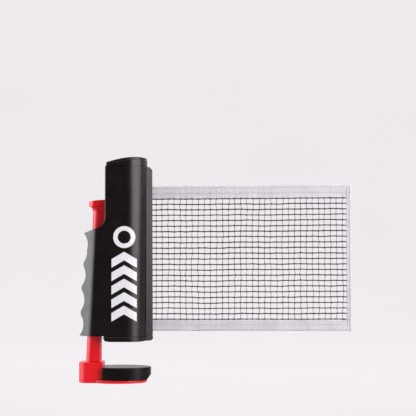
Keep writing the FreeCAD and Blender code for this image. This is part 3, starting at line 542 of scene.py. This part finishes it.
def band(name, inner, outer):
    """A tape folded over the net's edge, from its two hems at inner to its fold at outer."""
    out = 1 if outer > inner else -1
    reach = abs(outer - inner)
    skin, half = 0.16 * MM, 0.7 * MM
    steps = [0.0, 0.02, 0.12, 0.3, 0.5, 0.7, 0.88]
    side = [(half, s * (reach - half)) for s in steps]
    turn = [
        (half * math.cos(a), reach - half + half * math.sin(a))
        for a in (math.radians(d) for d in range(0, 181, 22))
    ]
    other = [(-y, h) for y, h in reversed(side)]
    outside = side + turn + other
    share, bend_at = (half - skin) / half, reach - half
    inside = [(y * share, min(h, bend_at) + max(h - bend_at, 0.0) * share) for y, h in reversed(outside)]
    loop = outside + inside
    stations = [NET_START]
    while stations[-1] < NET_END - 2.1 * MM:
        stations.append(stations[-1] + 1.6 * MM)
    stations.append(NET_END)
    rings = []
    for x in stations:
        wave = sway(x, outer)
        ripple = noise.noise((x * 160, inner * 90, 5)) * 0.22 * MM * free(x)
        ring = []
        for y, h in loop:
            swell = 1 + 0.22 * free(x) * noise.noise((x * 120, h * 200, y * 900))
            z = inner + out * (h + ripple * (1 if h < reach / 2 else 0.5))
            bulge = 1 - 0.16 * math.cos(math.pi * min(h / reach, 1.0))
            ring.append((x, lead_y(x) + wave + y * bulge * swell, z + lift(x, z)))
        rings.append(ring)
    made = Sheet()
    made.loft(rings)
    return link(name, made.mesh(name), tape)


band_low = band("net_tape_low", ROW_LOW - 0.1 * MM, BAND_LOW)
band_high = band("net_tape_high", ROW_HIGH + 0.1 * MM, BAND_HIGH)


def stitches(name, lines, along, to_point, length=2.0 * MM, pitch=3.1 * MM):
    """Rows of short thread stitches. to_point gives a place from a distance along and a side."""
    made = Sheet()
    start, end = along
    for line in lines:
        at = start + pitch / 2
        while at < end - pitch / 2:
            jitter = random.uniform(-0.12, 0.12) * MM
            ends = (at - length / 2 + jitter, at + length / 2 + jitter)
            a, b = to_point(ends[0], line, 0.0), to_point(ends[1], line, 0.0)
            middle = to_point((ends[0] + ends[1]) / 2, line, 1.0)
            path = curved([a, middle, b], 2)
            tube(made, path, [radius * MM for radius in (0.1, 0.15, 0.17, 0.15, 0.1)], 5)
            at += pitch
    return link(name, made.mesh(name), thread)


def band_stitch_point(x, line, lifted):
    z, side = line
    return Vector((x, lead_y(x) + sway(x, z) + side * (0.6 + 0.14 * lifted) * MM, z + lift(x, z)))


band_rows = [(z, side) for z in (ROW_LOW - 1.5 * MM, ROW_HIGH + 1.5 * MM) for side in (-1, 1)]
band_stitches = stitches("band_stitches", band_rows, (SLOT_OUT + 2 * MM, NET_END - 7 * MM), band_stitch_point)

for piece, node in ((net_cords, "net_mesh"), (band_low, "net_band_bottom"), (band_high, "net_band_top")):
    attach(piece, "net_end")
    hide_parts(node)
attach(band_stitches, "net_end")
for piece in (net_cords, band_low, band_high, band_stitches):
    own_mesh(piece)

# ---------------------------------------------------------------- the hem round the end rod

rod_low, rod_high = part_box("end_rod")
ROD_X = (rod_low.x + rod_high.x) / 2
hem_low, hem_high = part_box("end_hem")
HEM_RADIUS, HEM_FLAT, HEM_TAIL = 1.22 * MM, 0.78 * MM, 3.6 * MM


def hem_outline(z, skin):
    """The hem's outline at a height: round the rod, then two tails that meet the net."""
    swell = 1 + 0.06 * noise.noise((0, 0, z * 160))
    radius = HEM_RADIUS * swell - skin
    flat = HEM_FLAT - skin
    tail = ROD_X - HEM_TAIL + 0.25 * MM * noise.noise((3, 0, z * 140))
    points = [(tail, -flat), (tail + 0.8 * MM, -flat), (tail + 1.7 * MM, -flat * 1.02)]
    first = math.degrees(math.asin(min(flat * 1.02 / radius, 0.95)))
    for a in range(12):
        angle = math.radians(-(180 - first) + (360 - 2 * first) * a / 11)
        points.append((ROD_X + radius * math.cos(angle), radius * math.sin(angle)))
    points += [(tail + 1.7 * MM, flat * 1.02), (tail + 0.8 * MM, flat), (tail, flat)]
    return points


hem = Sheet()
HEM_SKIN, HEM_STEPS = 0.2 * MM, 88
HEM_TOP = hem_high.z + 0.4 * MM
hem_rings = []
for k in range(HEM_STEPS + 1):
    z = hem_low.z + (HEM_TOP - hem_low.z) * k / HEM_STEPS
    loop = hem_outline(z, 0.0) + list(reversed(hem_outline(z, HEM_SKIN)))
    hem_rings.append([(x, y, z) for x, y in loop])
hem.loft(hem_rings)
hem_sleeve = link("hem_sleeve", hem.mesh("hem_sleeve"), tape)
hem_stitches = stitches(
    "hem_stitches",
    [-1, 1],
    (hem_low.z + 1 * MM, hem_high.z - 1 * MM),
    lambda z, side, lifted: Vector((ROD_X - 2.2 * MM, side * (0.8 + 0.12 * lifted) * MM, z)),
)
for piece in (hem_sleeve, hem_stitches):
    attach(piece, "net_end")
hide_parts("end_hem")

# ---------------------------------------------------------------- the wound net

roll_low, roll_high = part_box("net_roll")
ROLL_OUT, ROLL_IN = roll_high.x - 0.1 * MM, 8.0 * MM
LAYER, CLOTH = 0.85 * MM, 0.4 * MM
TURNS = (ROLL_OUT - ROLL_IN - CLOTH) / LAYER
STEPS_PER_TURN = 40
roll = Sheet()
heights = [roll_low.z + (roll_high.z - roll_low.z) * k / 10 for k in range(11)]
roll_rings = []
for s in range(int(TURNS * STEPS_PER_TURN) + 1):
    angle = -math.tau * s / STEPS_PER_TURN
    radius = ROLL_OUT - CLOTH - LAYER * s / STEPS_PER_TURN
    column = []
    for z in heights:
        ripple = 0.1 * MM * noise.noise((math.cos(angle) * 3, math.sin(angle) * 3, z * 60 + s * 0.02))
        column.append((radius + ripple, z))
    column += [(r + CLOTH, z) for r, z in reversed(column)]
    roll_rings.append([(r * math.cos(angle), r * math.sin(angle), z) for r, z in column])
roll.loft(roll_rings, flipped=True)
wound_made = Shader("wound_net", (0.4, 0.38, 0.4), 0.8, Sheen_Weight=0.2)
checks = []
for direction in ("X", "Z"):
    wave = wound_made.node("TexWave", wave_type="BANDS", bands_direction=direction, Scale=190, Distortion=1.0)
    wound_made.links.new(wound_made.coords, wave.inputs["Vector"])
    checks.append(wave.outputs["Fac"])
pattern = wound_made.node("Math", operation="MULTIPLY")
wound_made.links.new(checks[0], pattern.inputs[0])
wound_made.links.new(checks[1], pattern.inputs[1])
wound_made.shade(pattern.outputs[0], (0.05, 0.04, 0.042), (0.5, 0.49, 0.52), 0.1, 0.5)
wound_made.bump(pattern.outputs[0], 0.5, 0.0003)
wound_net = link("wound_net", roll.mesh("wound_net"), wound_made.material)
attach(wound_net, "roller")
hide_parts("net_roll")

# ---------------------------------------------------------------- the clamp spring

guide_low, guide_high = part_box("spring_guide_rod")
SPRING_X = (guide_low.x + guide_high.x) / 2
SPRING_GAP = 0.05 * MM
SPRING_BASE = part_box("spring_seat")[1].z
SPRING_ROOM_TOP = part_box("clamp_spring")[1].z + SPRING_GAP
WIRE = 0.55 * MM
COIL = 3.8 * MM
spring = Sheet()
coil_points = []
ACTIVE, DEAD, PER_TURN = 13, 1.5, 24
CLOSED_PITCH = 2.1 * WIRE
spring_height = SPRING_ROOM_TOP - SPRING_BASE - 2 * (WIRE + SPRING_GAP)
dead_height = DEAD * CLOSED_PITCH
turns = ACTIVE + 2 * DEAD
for k in range(int(turns * PER_TURN) + 1):
    t = k / PER_TURN
    if t < DEAD:
        z = t * CLOSED_PITCH
    elif t > turns - DEAD:
        z = spring_height - (turns - t) * CLOSED_PITCH
    else:
        z = dead_height + (t - DEAD) / ACTIVE * (spring_height - 2 * dead_height)
    angle = math.tau * t
    z += SPRING_BASE + WIRE + SPRING_GAP
    coil_points.append((SPRING_X + COIL * math.cos(angle), COIL * math.sin(angle), z))
tube(spring, coil_points, WIRE, 8)
spring_coil = link("spring_coil", spring.mesh("spring_coil"), steel)
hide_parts("clamp_spring")
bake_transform(spring_coil)

# ---------------------------------------------------------------- the print on the housing

PRINT_RADIUS = 19.0 * MM
PRINT_X, PRINT_WIDTH = -2.0 * MM, 24.0 * MM
PRINT_LOW, PRINT_HIGH = 19.5 * MM, 110.5 * MM


def on_shell(x, z, proud):
    radius = PRINT_RADIUS + proud
    y = -radius if x <= 0 else -math.sqrt(radius**2 - x**2)
    return (x, y, z)


def print_shape(outline):
    """A flat outline laid on the shell as a thin closed film."""
    flat = bmesh.new()
    flat.faces.new([flat.verts.new((x, 0, z)) for x, z in outline])
    low, high = min(p[0] for p in outline), max(p[0] for p in outline)
    for k in range(1, int((high - low) / MM) + 1):
        geometry = flat.verts[:] + flat.edges[:] + flat.faces[:]
        bmesh.ops.bisect_plane(flat, geom=geometry, plane_co=(low + k * MM, 0, 0), plane_no=(1, 0, 0))
    flat.verts.index_update()
    points = [v.co.copy() for v in flat.verts]
    faces = [[v.index for v in face.verts] for face in flat.faces]
    rims = [edge for edge in flat.edges if edge.is_boundary]
    made, count = Sheet(), len(points)
    both = [on_shell(p.x, p.z, 0.05 * MM) for p in points] + [on_shell(p.x, p.z, -0.02 * MM) for p in points]
    shell = [tuple(face) for face in faces] + [tuple(count + i for i in reversed(face)) for face in faces]
    for edge in rims:
        a, b = (v.index for v in edge.verts)
        ring = [v.index for v in edge.link_faces[0].verts]
        if ring[(ring.index(a) + 1) % len(ring)] != b:
            a, b = b, a
        shell.append((b, a, count + a, count + b))
    flat.free()
    made.add(both, shell)
    return made


def ring_outline(centre, outer, inner, steps=72):
    """A ring as one outline, with a hairline cut at its foot."""
    arc = [math.radians(-90 + 359.9 * k / steps) for k in range(steps + 1)]
    around = [(outer, a) for a in arc] + [(inner, a) for a in reversed(arc)]
    return [(centre[0] + r * math.cos(a), centre[1] + r * math.sin(a)) for r, a in around]


film = Sheet()
shapes = []
half = PRINT_WIDTH / 2
CHEVRONS, CHEVRON_THICK, CHEVRON_RISE = 5, 8.2 * MM, 7.0 * MM
RING_OUTER, RING_INNER, RING_ROOM = 10.5 * MM, 6.2 * MM, 14.0 * MM
ring_z = PRINT_HIGH - RING_OUTER
shapes.append(ring_outline((PRINT_X, ring_z), RING_OUTER, RING_INNER))
span = (ring_z - RING_ROOM - CHEVRON_THICK - PRINT_LOW - CHEVRON_RISE) / (CHEVRONS - 1)
for k in range(CHEVRONS):
    base = PRINT_LOW + span * k
    shapes.append(
        [
            (PRINT_X - half, base),
            (PRINT_X, base + CHEVRON_RISE),
            (PRINT_X + half, base),
            (PRINT_X + half, base + CHEVRON_THICK),
            (PRINT_X, base + CHEVRON_RISE + CHEVRON_THICK),
            (PRINT_X - half, base + CHEVRON_THICK),
        ]
    )
for outline in shapes:
    laid = print_shape(outline)
    film.add(laid.points, laid.faces)
print_film = link("print_film", film.mesh("print_film", smooth=False), ink)
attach(print_film, "housing")
